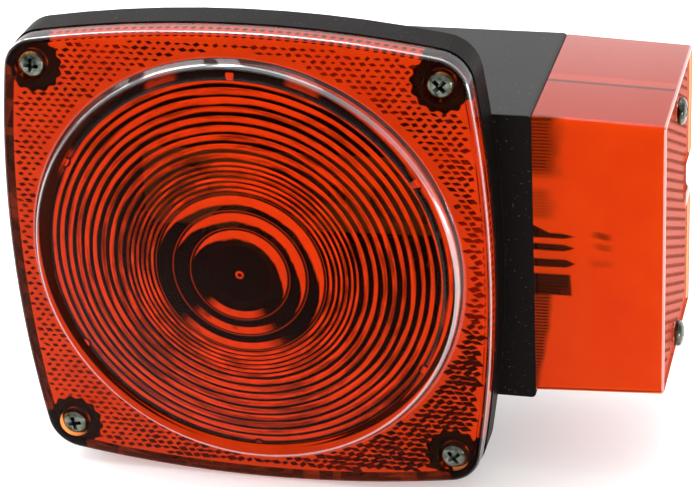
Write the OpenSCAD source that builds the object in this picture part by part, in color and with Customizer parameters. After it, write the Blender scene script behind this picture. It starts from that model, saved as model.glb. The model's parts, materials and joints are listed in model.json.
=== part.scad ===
// Right-hand trailer tail light: stop, tail and turn lens on a shallow black cup,
// with a side marker box behind it. The wires' outlet and two studs are at the back.
// Frame: origin on the mounting face, midway between the studs. +X points to the side
// marker, the light shines to -Y, and +Z is up. All sizes are in millimetres.

/* [Main lens] */
// Half the width of the bulged square lens, at the middle of a side
lens_half = 61; // [60:0.5:62]
// Radius of the gentle bulge of each side
lens_bulge_r = 310; // [280:10:400]
// Radius of the lens corners
lens_corner_r = 9; // [8:0.5:10]
// Depth of the lens skirt behind its front border
lens_skirt = 5.5; // [5:0.1:6]
// Thickness of the lens walls
lens_wall = 2.4; // [2.2:0.1:2.6]
// Outer radius of the raised round optic
optic_r = 54.4; // [54:0.1:54.6]
// Height of the rim of the optic above the border
optic_rise = 2.4; // [2:0.1:2.6]
// Height of the middle of the dome above the rim
dome_rise = 4.1; // [3.5:0.1:4.3]
// Distance between neighbouring lens screws
lens_screw_pitch = 100; // [99.5:0.1:100.5]

/* [Housing] */
// Depth from the mounting face to the front border of the lens
face_depth = 67; // [67:0.1:67.4]
// Depth of the shallow cup behind the lens
cup_depth = 9; // [8.6:0.1:9.4]
// Wall thickness of the moulding
wall = 2.2; // [2:0.1:2.4]
// Distance from the origin to the left end of the rear box
box_left = 46; // [44:1:48]
// Distance from the origin to the joint with the side lens
box_right = 68.5; // [68.3:0.1:68.8]
// Height of the top of the rear box
box_top = 37.2; // [37:0.1:37.4]
// Depth of the bottom of the rear box below the origin
box_bottom = 39.4; // [39.2:0.1:39.6]

/* [Side lens] */
// Length of the side marker lens
side_len = 31.7; // [31.5:0.1:32]
// Moulding draft of the side lens at its far end
side_draft = 1.2; // [0.8:0.1:1.4]
// Wall thickness of the side lens
side_wall = 2.3; // [2.2:0.1:2.4]
// Half the distance between the two side lens screws
side_screw_z = 30.7; // [30:0.1:31]

/* [Bulbs] */
// Diameter of the glass globe of the main bulb
globe_d = 26.5; // [25:0.5:27]
// Length of the main bulb from its base to its tip
bulb_len = 50; // [49:0.5:51]
// How far the main bulb is pushed in to free its pins
push_travel = 2; // [1.8:0.1:2]
// Diameter of the globe of the marker bulb
marker_globe_d = 10.3; // [10:0.1:10.5]

/* [Mounting] */
// Distance between the two mounting studs
stud_pitch = 50.8; // [50.8:0.1:51]
// Diameter of the studs
stud_d = 6.35; // [6:0.05:6.35]
// Length of the studs behind the mounting face
stud_len = 22; // [21:1:24]
// Panel thickness left free between the housing and the nuts
panel_gap = 9; // [8:0.5:10]

/* [Hidden] */

$fn = 48;
eps = 0.01;
fine = 96;

// planes along Y, from the mounting face at 0 to the lens at the front
face_y = -face_depth;
rim_y = face_y + lens_skirt;
cup_back_y = rim_y + cup_depth;
back_in_y = -2.5;
lens_screw = lens_screw_pitch / 2;
lens_back_y = face_y + lens_wall;

// parts of the screwed joint of the main lens
gasket_y = rim_y + 0.8;
gasket_t = 2;
ledge_t = 2;
screw_seat = 2;
screw_well_r = 3.9;
screw_clear_r = 1.95;
screw_pilot_r = 1.75;
screw_shank_r = 1.7;
screw_head_r = 3.3;
screw_head_h = 2.1;
dome_r = 49.6;
post_r = 4.5;
post_back_y = cup_back_y + 5;

// side box
side_x = box_right + side_len;
side_screw_y = -29;
side_mid_z = -0.5;
side_seam_x = box_right + 0.8;
side_ledge_x = side_seam_x - gasket_t;
box_h = box_top + box_bottom;
box_in_depth = -cup_back_y + back_in_y - wall;
side_low_z = -box_bottom + 2;

// main bulb and socket, heights measured forward from the bracket
socket_y = back_in_y - 1.5;
shell_r = 8.3;
shell_in_r = 7.6;
shell_len = 24.5;
base_h = 10.5;
base_r = 7.5;
base_len = 17.5;
globe_r = globe_d / 2;
globe_h = base_h + bulb_len - globe_r;
neck_r = 6.6;
dot_h = 0.6;
button_h = 0.8;
carrier_t = 2.6;
contact_gap = 0.05;
contact_x = 2.6;
rivet_x = 11;
rivet_r = 1.5;
carrier_h = base_h - dot_h - button_h - contact_gap - carrier_t;
pin_r = 1;
pin_out = 1.15;
pin_h = [base_h + 7, base_h + 10];
hook_turn = 32;
slot_w = 2.6;

// marker bulb, heights measured from the partition towards +X
marker_y = -40;
partition_x = 56;
holder_x = 50;
holder_r = 8.4;
nose_len = 18;
marker_x = partition_x + wall + nose_len;

// wire outlet
outlet = [36, -24];
outlet_r = 2.6;

stud_x = stud_pitch / 2;
shoulder_r = 3.7;
nut_y = panel_gap + 3.2;

// ---- helpers ----

// a 2D outline in X and Z, made solid from y_back forward by depth
module plate(y_back, depth) {
    translate([0, y_back, 0]) rotate([90, 0, 0]) linear_extrude(depth) children();
}

// turns a shape built along +Z so that it points forward, along -Y, from y
module forward(y, x = 0, z = 0) {
    translate([x, y, z]) rotate([90, 0, 0]) children();
}

// turns a shape built along +Z so that it points along +X, from x
module sideways(x, y = 0, z = 0) {
    translate([x, y, z]) rotate([0, 90, 0]) children();
}

module at_lens_screws() {
    for (sx = [-1, 1], sz = [-1, 1])
        translate([sx * lens_screw, 0, sz * lens_screw]) children();
}

module at_side_screws() {
    for (s = [-1, 1])
        translate([0, side_screw_y, side_mid_z + s * side_screw_z]) children();
}

module at_studs() {
    for (s = [-1, 1]) translate([s * stud_x, 0, 0]) children();
}

// points of the bulged square: each side is an arc, and a corner arc meets both sides
function bulged_points(grow) =
    let (half = lens_half + grow,
         r = lens_bulge_r + grow,
         cr = lens_corner_r + grow,
         d = r - half,
         c = (-d + sqrt(2 * pow(r - cr, 2) - d * d)) / 2,
         turn = atan2(c, c + d),
         sides = 10,
         rounds = 8)
    [for (q = [0:3])
        for (i = [0:sides + rounds - 1])
            let (on_side = i < sides,
                 t = on_side
                    ? -turn + 2 * turn * i / sides
                    : turn + (90 - 2 * turn) * (i - sides) / rounds,
                 p = on_side
                    ? [r * cos(t) - d, r * sin(t)]
                    : [c + cr * cos(t), c + cr * sin(t)])
            [p[0] * cos(90 * q) - p[1] * sin(90 * q), p[0] * sin(90 * q) + p[1] * cos(90 * q)]];

module bulged(grow = 0) {
    polygon(bulged_points(grow));
}

module bulged_ring(outer, inner) {
    difference() {
        bulged(outer);
        bulged(inner);
    }
}

// points of a rectangle from (x0, z0) to (x1, z1) with round corners
function round_rect(x0, z0, x1, z1, r) =
    [for (q = [0:3])
        for (i = [0:4])
            let (t = 90 * q + 22.5 * i,
                 cx = (q == 0 || q == 3) ? x1 - r : x0 + r,
                 cz = q < 2 ? z1 - r : z0 + r)
            [cx + r * cos(t), cz + r * sin(t)]];

// pan head with its cross recess, on a plain shank; the head's seat is at height 0
module pan_screw(shank_r, shank_len, head_r, head_h) {
    difference() {
        union() {
            rotate_extrude() polygon(concat(
                [[0, 0], [head_r, 0], [head_r, head_h * 0.45]],
                [for (i = [1:4]) [head_r * (0.55 + 0.45 * cos(22.5 * i)), head_h * (0.45 + 0.55 * sin(22.5 * i))]],
                [[0, head_h]]));
            translate([0, 0, -shank_len]) cylinder(h = shank_len + eps, r = shank_r);
        }
        for (a = [0, 90]) rotate([0, 0, a])
            translate([-head_r * 0.62, -0.4, head_h - 1.2]) cube([head_r * 1.24, 0.8, 2]);
    }
}

// flat ring along +Z
module ring(r_out, r_in, h) {
    difference() {
        cylinder(h = h, r = r_out);
        translate([0, 0, -1]) cylinder(h = h + 2, r = r_in);
    }
}

// ---- tubes for the two leads held inside ----

lead_d = 2.2;
lead_sides = 8;

// frame of a ring at point i of a route: two directions across the route
function unit(v) = v / norm(v);
function along(p, i) = unit(p[min(i + 1, len(p) - 1)] - p[max(i - 1, 0)]);
function across(v) = unit(cross(v, abs(v[2]) > 0.9 ? [1, 0, 0] : [0, 0, 1]));

// one closed polyhedron swept along the route
module lead_tube(route, d) {
    n = len(route);
    points = [for (i = [0:n - 1])
        let (t = along(route, i), u = across(t), w = cross(t, u))
        for (k = [0:lead_sides - 1])
            route[i] + d / 2 * (cos(360 * k / lead_sides) * u + sin(360 * k / lead_sides) * w)];
    walls = [for (i = [0:n - 2]) for (k = [0:lead_sides - 1])
        let (a = i * lead_sides + k, b = i * lead_sides + (k + 1) % lead_sides)
        for (f = [[a, b, b + lead_sides], [a, b + lead_sides, a + lead_sides]]) f];
    caps = [[for (k = [lead_sides - 1:-1:0]) k],
            [for (k = [0:lead_sides - 1]) (n - 1) * lead_sides + k]];
    polyhedron(points = points, faces = concat(walls, caps));
}

// a smooth line through hand-placed points
function spline(p, steps = 4) =
    concat([for (i = [0:len(p) - 2]) for (k = [0:steps - 1])
        let (a = p[max(i - 1, 0)], b = p[i], c = p[i + 1], d = p[min(i + 2, len(p) - 1)], t = k / steps)
        0.5 * (2 * b + (c - a) * t + (2 * a - 5 * b + 4 * c - d) * t * t
            + (3 * b - a - 3 * c + d) * t * t * t)],
        [p[len(p) - 1]]);

feed_route = [[54, -43, -3], [52, -43, -3], [49, -43, -3], [43, -40, -5], [39, -32, -8],
              [38, -22, -9], [38, -14, -10], [38, -12, -13], [38, -12, -16]];
ground_route = [[54, -37, 3], [52, -37, 3], [49, -37, 3], [43, -34, 3], [38, -28, 2],
                [36, -22, 0.5], [35.5, -17, 0], [35.5, -13.5, 0]];

// ---- housing ----

module box_outer() {
    plate(0, -cup_back_y) polygon(round_rect(-box_left, -box_bottom, box_right, box_top, 1.2));
}

module box_inner() {
    plate(back_in_y, box_in_depth)
        polygon(round_rect(-box_left + wall, -box_bottom + wall, partition_x, box_top - wall, 1));
    plate(back_in_y, box_in_depth)
        translate([partition_x + wall, -box_bottom + wall]) square([box_right, box_h - 2 * wall]);
}

module housing_shell() {
    difference() {
        union() {
            plate(cup_back_y, cup_depth) bulged(0.3);
            box_outer();
            at_lens_screws() forward(post_back_y) cylinder(h = 8, r = post_r);
        }
        // the cup, and the way through its floor into the box
        plate(cup_back_y - wall, cup_depth) bulged(-1.9);
        box_inner();
        plate(cup_back_y + 5, 12)
            polygon(round_rect(-box_left + wall, -box_bottom + wall, partition_x - 1, box_top - wall, 1));
    }
}

module housing_body() {
    color([0.09, 0.085, 0.08]) difference() {
        union() {
            housing_shell();
            // ledge that backs the lens gasket
            plate(gasket_y + ledge_t, ledge_t) gasket_path(-1.5, -4.6, 2);
            // posts for the lens screws
            at_lens_screws() forward(post_back_y) cylinder(h = post_back_y - rim_y, r = post_r);
            // ledge and blocks that back the side lens
            side_ledge();
            at_side_screws() sideways(box_right - 13) cylinder(h = 13, r = 3.8);
            for (s = [-1, 1])
                translate([box_right - 13, side_screw_y - 3.8, side_mid_z + s * (side_screw_z + 2.6) - 1.8])
                    cube([side_ledge_x - box_right + 13, 7.6, 3.6]);
            // thick ring round the wire outlet
            forward(-1, outlet[0], outlet[1]) cylinder(h = 4, r = 10.5);
            // two ribs that square up the bracket
            for (s = [-1, 1]) translate([-38, back_in_y - 3, s * 10.9 - 0.8]) cube([76, 3.5, 1.6]);
        }
        at_lens_screws() forward(post_back_y - 1.5) cylinder(h = 20, r = screw_pilot_r);
        at_side_screws() sideways(box_right - 12) cylinder(h = 14, r = screw_pilot_r);
        at_studs() forward(1) cylinder(h = 6, r = shoulder_r + 0.2);
        // wire outlet: the grommet's flange sits in a recess, so that the back stays flat
        forward(1, outlet[0], outlet[1]) cylinder(h = 3, r = 8.4);
        forward(1, outlet[0], outlet[1]) cylinder(h = 12, r = 5.6);
        // mouth of the marker bulb holder
        sideways(partition_x - 1, marker_y) cylinder(h = wall + 2, r = holder_r + 0.1);
        // drain slots in the bottom
        for (x = [-30, 0, 30]) translate([x - 4, -14, -box_bottom - 1]) cube([8, 2.5, wall + 2]);
        // shallow recess that leaves a flat land round the back
        plate(1, 1.6) difference() {
            polygon(round_rect(-box_left + 4, -box_bottom + 4, box_right - 4, box_top - 4, 2));
            for (s = [-1, 1]) translate([s * stud_x, 0]) circle(r = 11);
            translate([outlet[0], outlet[1]]) circle(r = 11);
            translate([-stud_x, -4]) square([stud_pitch, 8]);
        }
    }
}

// inner frame at the end of the box that the side lens and its gasket sit against
module side_ledge() {
    bite = 0.3;
    land = 2.4;
    difference() {
        union() {
            translate([side_ledge_x - 1.6, cup_back_y + wall - bite, -box_bottom + wall - bite])
                cube([1.6, box_in_depth + 2 * bite, box_h - 2 * wall + 2 * bite]);
            // sill that fills the step under the lens, which is shallower than the box
            translate([side_ledge_x - 1.6, cup_back_y + wall - bite, -box_bottom + wall - bite])
                cube([box_right - side_ledge_x + 1.6, box_in_depth + 2 * bite, bite + 2]);
        }
        translate([side_ledge_x - 3, cup_back_y + wall + land, side_low_z + wall + land])
            cube([6, box_in_depth - 2 * land, box_top - side_low_z - 2 * wall - 2 * land]);
    }
}

// ---- main lens ----

// height of the dome above the border at radius r
function dome(r) = optic_rise - 0.6 + (dome_rise + 0.6) * (1 - pow(r / dome_r, 2));

module optic() {
    steps = 8;
    forward(face_y) rotate_extrude($fn = fine) polygon(concat(
        [for (i = [0:steps]) let (r = dome_r * i / steps) [r, dome(r)]],
        [[50.4, optic_rise], [53, optic_rise], [54, optic_rise - 0.7], [optic_r, 0], [optic_r, -lens_wall],
         [51, -lens_wall]],
        [for (i = [steps:-1:0]) let (r = (dome_r - 0.4) * i / steps) [r, dome(r) - lens_wall]]));
}

module main_lens() {
    color([0.85, 0.2, 0.05, 0.75]) difference() {
        union() {
            plate(lens_back_y, lens_wall) difference() {
                bulged();
                circle(r = 52, $fn = fine);
            }
            plate(rim_y, lens_skirt) bulged_ring(0, -lens_wall);
            plate(gasket_y - gasket_t, gasket_y - gasket_t - lens_back_y + eps) bulged_ring(-1.5, -4.4);
            at_lens_screws() forward(rim_y) cylinder(h = lens_skirt - 0.5, r = post_r - 0.1);
            optic();
        }
        at_lens_screws() forward(rim_y + 1) cylinder(h = 12, r = screw_clear_r);
        at_lens_screws() forward(face_y + screw_seat) cylinder(h = 5, r = screw_well_r);
    }
}

// the gasket's line: round the edge, with an eye inside each screw post
module gasket_path(outer, inner, eye) {
    difference() {
        union() {
            bulged_ring(outer, inner);
            intersection() {
                bulged(outer);
                for (sx = [-1, 1], sz = [-1, 1])
                    translate([sx * lens_screw, sz * lens_screw]) circle(r = post_r + eye);
            }
        }
        for (sx = [-1, 1], sz = [-1, 1])
            translate([sx * lens_screw, sz * lens_screw]) circle(r = post_r + 0.2);
    }
}

module main_lens_gasket() {
    color([0.12, 0.12, 0.12]) plate(gasket_y, gasket_t) gasket_path(-2.45, -4.3, 1.8);
}

module main_lens_screws() {
    color([0.75, 0.76, 0.78])
        at_lens_screws() forward(face_y + screw_seat) pan_screw(screw_shank_r, 15.2, screw_head_r, screw_head_h);
}

// ---- side lens ----

// closed body from the joint to the far end, drafted by stacking slices
module side_block(grow, x0, x1) {
    slices = 6;
    for (i = [0:slices - 1])
        let (a = x0 + (x1 - x0) * i / slices,
             d = side_draft * (a - box_right) / side_len - grow)
        translate([a, cup_back_y + d * 0.6, side_low_z + d])
            cube([(x1 - x0) / slices + eps, -cup_back_y - 1.2 * d, box_top - side_low_z - 2 * d]);
}

module side_lens() {
    color([0.85, 0.2, 0.05, 0.75]) difference() {
        union() {
            difference() {
                side_block(0, box_right, side_x);
                side_block(-side_wall, box_right - 1, side_x - side_wall);
            }
            at_side_screws() sideways(box_right) cylinder(h = side_len - 1, r = 3.7);
            // rib that presses the gasket
            side_frame(side_seam_x, 1.4, side_wall - 0.4, side_wall + 1.6);
        }
        at_side_screws() sideways(box_right - 1) cylinder(h = side_len + 4, r = screw_clear_r);
        // finger hollow in the rear edge of the end
        forward(1, side_x + 9.4, 1.5) cylinder(h = 12, r = 11.2);
    }
}

// a rectangular frame just inside the side lens, starting at x
module side_frame(x, t, outer, inner) {
    difference() {
        translate([x, cup_back_y + outer, side_low_z + outer])
            cube([t, -cup_back_y - 2 * outer, box_top - side_low_z - 2 * outer]);
        translate([x - 1, cup_back_y + inner, side_low_z + inner])
            cube([t + 2, -cup_back_y - 2 * inner, box_top - side_low_z - 2 * inner]);
    }
}

module side_lens_gasket() {
    color([0.12, 0.12, 0.12]) difference() {
        side_frame(side_ledge_x, gasket_t, side_wall + 0.3, side_wall + 2);
        at_side_screws() sideways(box_right - 5) cylinder(h = 12, r = 4);
    }
}

module side_lens_screws() {
    color([0.75, 0.76, 0.78])
        at_side_screws() sideways(side_x + eps) pan_screw(screw_shank_r, side_len + 10, screw_head_r, screw_head_h);
}

// ---- bracket, studs and their nuts ----

module mounting_bracket() {
    color([0.78, 0.74, 0.6]) difference() {
        union() {
            plate(back_in_y, 1.5) polygon(round_rect(-36, -10, 36, 10, 4));
            // tab for the ground lead, bent up from the strip
            translate([35, back_in_y - 9, -3]) cube([1, 9, 6]);
        }
        at_studs() forward(1) cylinder(h = 8, r = shoulder_r + 0.02);
        forward(1) cylinder(h = 8, r = 4.5);
        for (s = [-1, 1]) forward(1, s * rivet_x) cylinder(h = 8, r = rivet_r);
    }
}

module mounting_studs() {
    color([0.72, 0.73, 0.75]) at_studs() union() {
        forward(socket_y) cylinder(h = 2.6, r = 6);
        forward(eps) cylinder(h = eps - socket_y, r = shoulder_r);
        forward(panel_gap) cylinder(h = panel_gap, r = stud_d / 2);
        forward(stud_len - 0.8) cylinder(h = stud_len - 0.8 - panel_gap, r = 2.75);
        forward(stud_len) cylinder(h = 0.8, r1 = 2, r2 = 2.75);
    }
}

module stud_flat_washers() {
    color([0.72, 0.73, 0.75]) at_studs() forward(panel_gap + 1.6) ring(8, 2.85, 1.6);
}

module stud_lock_washers() {
    color([0.72, 0.73, 0.75]) at_studs() difference() {
        forward(nut_y) ring(6, 2.85, 1.6);
        translate([2, panel_gap, -0.4]) cube([5, 4, 0.8]);
    }
}

module stud_nuts() {
    color([0.72, 0.73, 0.75]) at_studs() forward(nut_y + 5.5) difference() {
        intersection() {
            cylinder(h = 5.5, r = 11.1 / sqrt(3), $fn = 6);
            cylinder(h = 5.5, r1 = 5.9, r2 = 6.9);
        }
        translate([0, 0, -1]) cylinder(h = 8, r = 2.82);
    }
}

// ---- socket ----

// slot for one bayonet pin: in from the mouth, round, and back into its seat
module bayonet_slot(h) {
    low = h - push_travel - pin_r - 0.15;
    cut = 2 * shell_r;
    rotate([0, 0, hook_turn]) translate([3, -slot_w / 2, low]) cube([cut, slot_w, shell_len]);
    translate([3, -slot_w / 2, low]) cube([cut, slot_w, h + pin_r + 0.1 - low]);
    translate([0, 0, low + 0.1]) linear_extrude(push_travel + 0.3)
        polygon([[3, 0.4], [cut, 0.4], [cut * cos(hook_turn), cut * sin(hook_turn)],
                 [3 * cos(hook_turn), 3 * sin(hook_turn)]]);
}

module socket_shell() {
    floor_t = 0.8;
    ear_x = 14;
    color([0.78, 0.74, 0.6]) forward(socket_y) difference() {
        union() {
            rotate_extrude() polygon([[5, 0], [shell_r, 0], [shell_r, shell_len], [shell_in_r, shell_len],
                                      [shell_in_r, floor_t], [5, floor_t]]);
            // ears riveted to the bracket
            for (s = [0, 1]) rotate([0, 0, 180 * s]) translate([shell_in_r + 0.3, -4, 0])
                cube([ear_x - shell_in_r - 0.3, 8, floor_t - 0.1]);
        }
        for (i = [0, 1]) rotate([0, 0, 180 * i]) bayonet_slot(pin_h[i]);
        for (s = [-1, 1]) translate([s * rivet_x, 0, -1]) cylinder(h = 4, r = rivet_r);
    }
}

module socket_rivets() {
    color([0.8, 0.8, 0.82]) for (s = [-1, 1]) forward(socket_y, s * rivet_x) union() {
        translate([0, 0, -1.5]) cylinder(h = 2.4, r = rivet_r - 0.03);
        translate([0, 0, 0.8]) cylinder(h = 0.9, r1 = 2.3, r2 = 1.6);
    }
}

module contact_carrier() {
    color([0.35, 0.2, 0.1]) forward(socket_y) translate([0, 0, carrier_h]) difference() {
        cylinder(h = carrier_t, r = base_r - 0.05);
        for (s = [-1, 1]) translate([0, s * contact_x, -1]) cylinder(h = 6, r = 1.2);
    }
}

module contact_buttons() {
    color([0.8, 0.6, 0.25]) forward(socket_y) translate([0, 0, carrier_h])
        for (s = [-1, 1]) translate([0, s * contact_x, -0.8]) union() {
            cylinder(h = carrier_t + 0.8, r = 1.18);
            translate([0, 0, carrier_t + 0.8]) cylinder(h = button_h, r1 = 1.7, r2 = 1.3);
            cylinder(h = 0.8, r = 1.9);
        }
}

// compression spring between the shell's floor and the carrier, drawn as closed wire rings
module contact_spring() {
    coils = 4;
    wire_r = 0.35;
    play = 0.05;
    low = 0.8 + wire_r + play;
    step = (carrier_h - 0.8 - 2 * wire_r - 2 * play) / (coils - 1);
    color([0.8, 0.8, 0.82]) forward(socket_y) union() {
        for (i = [0:coils - 1]) translate([0, 0, low + step * i])
            rotate_extrude() translate([6.4, 0]) circle(r = wire_r, $fn = 16);
        for (i = [0:coils - 2]) rotate([0, 0, 180 * i]) translate([6.4, 0, low + step * i])
            cylinder(h = step, r = 0.3, $fn = 16);
    }
}

// ---- main bulb ----

// profile of the hollow glass: a globe that narrows into a straight neck
module globe_profile(r, neck, low, centre) {
    meet = -asin(sqrt(1 - pow(neck / r, 2)));
    polygon(concat(
        [[0, low], [neck, low]],
        [for (i = [0:12]) let (t = meet + (90 - meet) * i / 12) [r * cos(t), centre + r * sin(t)]]));
}

module main_bulb_glass() {
    color([0.9, 0.93, 0.95, 0.35]) forward(socket_y) difference() {
        rotate_extrude($fn = fine) globe_profile(globe_r, neck_r, base_h + 6, globe_h);
        rotate_extrude($fn = fine) globe_profile(globe_r - 0.7, neck_r - 0.7, base_h + 7, globe_h);
    }
}

module main_bulb_base() {
    color([0.8, 0.65, 0.35]) forward(socket_y) union() {
        difference() {
            translate([0, 0, base_h]) cylinder(h = base_len, r = base_r);
            translate([0, 0, base_h - 1]) cylinder(h = base_len + 2, r = base_r - 0.6);
        }
        for (i = [0, 1]) rotate([0, 0, 180 * i])
            sideways(base_r - 0.5, 0, pin_h[i]) cylinder(h = pin_out + 0.5, r = pin_r);
    }
}

module main_bulb_insulator() {
    color([0.08, 0.08, 0.09]) forward(socket_y)
        translate([0, 0, base_h]) cylinder(h = 4, r = base_r - 0.6);
}

module main_bulb_contacts() {
    color([0.7, 0.7, 0.7]) forward(socket_y) for (s = [-1, 1])
        translate([0, s * contact_x, base_h - dot_h]) cylinder(h = dot_h, r1 = 1.2, r2 = 1.7);
}

module main_bulb_stem() {
    color([0.9, 0.93, 0.95, 0.5]) forward(socket_y) union() {
        translate([0, 0, base_h + 7]) cylinder(h = 14, r = 2.6);
        translate([0, 0, base_h + 21]) cylinder(h = 5, r1 = 2.6, r2 = 1.6);
    }
}

module main_bulb_filaments() {
    top = globe_h - 1;
    foot = base_h + 26;
    color([0.55, 0.55, 0.57]) forward(socket_y) for (s = [-1, 1]) union() {
        for (e = [-1, 1]) translate([e * 1.1, s * 0.9, foot]) cylinder(h = 4, r = 0.25, $fn = 12);
        for (e = [-1, 1]) translate([e * 1.1, s * 0.9, foot + 4])
            rotate([0, e * 20, 0]) cylinder(h = (top - foot - 4) / cos(20) , r = 0.25, $fn = 12);
        sideways(-1.1 - (top - foot - 4) * tan(20), s * 0.9, top)
            cylinder(h = 2.2 + 2 * (top - foot - 4) * tan(20), r = 0.45);
    }
}

// ---- marker bulb ----

module marker_bulb_holder() {
    fins = [8.2, 4.2, 0.2];
    color([0.1, 0.1, 0.1]) difference() {
        union() {
            sideways(holder_x, marker_y) cylinder(h = partition_x + wall - holder_x, r = holder_r);
            sideways(partition_x + wall, marker_y) cylinder(h = 2, r = 10);
            translate([partition_x + wall + 2 - eps, marker_y - 7.5, -9.5]) cube([nose_len - 2, 15, 7]);
            for (z = fins) translate([partition_x + wall + 2 - eps, marker_y - 7, z - 0.8])
                cube([nose_len - 2, 14, 1.7]);
            translate([partition_x + wall + 2 - eps, marker_y - 5.5, -3]) cube([nose_len - 5, 11, 12]);
        }
        // slot for the flat foot of the bulb
        translate([marker_x - 9, marker_y - 4.9, -1.5]) cube([20, 9.8, 3]);
        // room for the neck of the globe
        sideways(marker_x - 2.2, marker_y) cylinder(h = 10, r = 4.2);
        // wire passages out of the back
        for (s = [-1, 1]) sideways(holder_x - 1, marker_y + s * 3, s * 3) cylinder(h = 14, r = 1.35);
    }
}

module marker_bulb_clips() {
    color([0.8, 0.6, 0.25]) for (s = [-1, 1])
        translate([marker_x - 8.9, marker_y - s * 2.5 - 1.5, s * 1.2 - 0.15]) cube([7.2, 3, 0.3]);
}

module marker_bulb_glass() {
    r = marker_globe_d / 2;
    color([0.9, 0.93, 0.95, 0.35]) union() {
        translate([marker_x - 8, marker_y - 4.6, -1]) cube([6.6, 9.2, 2]);
        difference() {
            sideways(marker_x - 1.6, marker_y) rotate_extrude() globe_profile(r, 3.6, 0, 10.5);
            sideways(marker_x - 1.6, marker_y) rotate_extrude() globe_profile(r - 0.6, 3, 1, 10.5);
        }
    }
}

module marker_bulb_filament() {
    color([0.55, 0.55, 0.57]) union() {
        for (s = [-1, 1]) sideways(marker_x - 0.55, marker_y + s * 1.8)
            cylinder(h = 9.25, r = 0.22, $fn = 12);
        translate([marker_x + 8.5, marker_y + 2, 0]) rotate([90, 0, 0]) cylinder(h = 4, r = 0.3, $fn = 12);
    }
}

// ---- leads and outlet ----

module marker_feed_lead() {
    color([0.45, 0.28, 0.12]) lead_tube(spline(feed_route), lead_d);
}

module marker_ground_lead() {
    color([0.9, 0.9, 0.88]) lead_tube(spline(ground_route), lead_d);
}

module feed_splice() {
    end = feed_route[len(feed_route) - 1];
    color([0.2, 0.3, 0.6]) translate(end) rotate([0, 180, 0]) union() {
        cylinder(h = 12, r = 2);
        translate([0, 0, 3]) cylinder(h = 6, r = 2.4);
    }
}

module ground_terminal() {
    end = ground_route[len(ground_route) - 1];
    color([0.8, 0.65, 0.35]) difference() {
        translate([end[0] - 1.6, end[1] + eps, -3.8]) cube([3.2, 8, 7.6]);
        translate([end[0] - 0.55, end[1] + 2, -3.1]) cube([1.1, 8, 6.2]);
    }
}

module wire_grommet() {
    color([0.1, 0.1, 0.1]) forward(-0.3, outlet[0], outlet[1]) difference() {
        union() {
            cylinder(h = 1.6, r = 8.2);
            cylinder(h = 7.2, r = 5.5);
            translate([0, 0, 4.8]) cylinder(h = 1.8, r1 = 8.2, r2 = 6.5);
        }
        translate([0, 0, -1]) cylinder(h = 10, r = outlet_r);
    }
}

housing_body();
main_lens();
main_lens_gasket();
main_lens_screws();
side_lens();
side_lens_gasket();
side_lens_screws();
mounting_bracket();
mounting_studs();
stud_flat_washers();
stud_lock_washers();
stud_nuts();
socket_shell();
socket_rivets();
contact_spring();
contact_carrier();
contact_buttons();
main_bulb_glass();
main_bulb_base();
main_bulb_insulator();
main_bulb_contacts();
main_bulb_stem();
main_bulb_filaments();
marker_bulb_holder();
marker_bulb_clips();
marker_bulb_glass();
marker_bulb_filament();
marker_feed_lead();
marker_ground_lead();
feed_splice();
ground_terminal();
wire_grommet();
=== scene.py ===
# %% [markdown]
# # A trailer tail light, built around a fixed frame
# The light is a bulged square red lens on a shallow black cup. A black box behind the cup carries a
# red side marker lens. The frame gives every node its true place and size in metres: +X points to
# the side marker, the light shines to -Y, and +Z is up. This script gives each piece its finish,
# and builds finer pieces where the plain solids are too simple.

# %% Load the frame
import json
import math

import bmesh
import bpy
from mathutils import Matrix, Vector
from mathutils.geometry import delaunay_2d_cdt


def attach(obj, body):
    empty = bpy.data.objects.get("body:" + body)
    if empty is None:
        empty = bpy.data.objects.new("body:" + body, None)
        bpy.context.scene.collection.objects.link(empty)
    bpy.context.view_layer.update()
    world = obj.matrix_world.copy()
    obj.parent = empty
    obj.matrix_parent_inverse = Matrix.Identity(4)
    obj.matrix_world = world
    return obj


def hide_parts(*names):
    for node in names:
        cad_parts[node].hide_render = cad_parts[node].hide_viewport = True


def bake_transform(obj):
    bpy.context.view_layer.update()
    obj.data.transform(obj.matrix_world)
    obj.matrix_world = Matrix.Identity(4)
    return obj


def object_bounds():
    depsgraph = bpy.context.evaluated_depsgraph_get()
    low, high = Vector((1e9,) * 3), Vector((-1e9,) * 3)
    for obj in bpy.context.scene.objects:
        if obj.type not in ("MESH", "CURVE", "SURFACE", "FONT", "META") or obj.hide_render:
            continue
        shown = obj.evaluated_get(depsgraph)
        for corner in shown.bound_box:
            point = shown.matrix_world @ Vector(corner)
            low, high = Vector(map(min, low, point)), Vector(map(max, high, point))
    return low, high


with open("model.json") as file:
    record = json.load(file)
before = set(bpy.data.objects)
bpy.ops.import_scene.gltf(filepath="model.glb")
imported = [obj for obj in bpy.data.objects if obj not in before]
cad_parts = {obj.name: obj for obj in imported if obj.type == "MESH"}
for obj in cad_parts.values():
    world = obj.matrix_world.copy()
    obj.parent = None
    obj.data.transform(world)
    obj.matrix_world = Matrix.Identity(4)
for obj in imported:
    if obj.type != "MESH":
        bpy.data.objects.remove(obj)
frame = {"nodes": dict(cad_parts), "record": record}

nodes = frame["nodes"]
cad_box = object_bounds()
MM = 0.001
print("CAD box, mm:", [[round(c / MM, 1) for c in corner] for corner in cad_box])

# %% [markdown]
# ## Camera
# A product picture of a light is taken from a little above and to one side with a long lens, so
# that the square stays square. The camera is placed by an azimuth, an elevation and a distance from
# a point on the front, and then rolled a little about its own axis.

# %% Camera
AZIMUTH, ELEVATION, ROLL = math.radians(15.66), math.radians(26.99), math.radians(-3.31)
DISTANCE, SENSOR, FOCAL_LENGTH = 562.0 * MM, 36.0, 120.8
TARGET = Vector((26.71, -67.0, 8.01)) * MM

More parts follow.
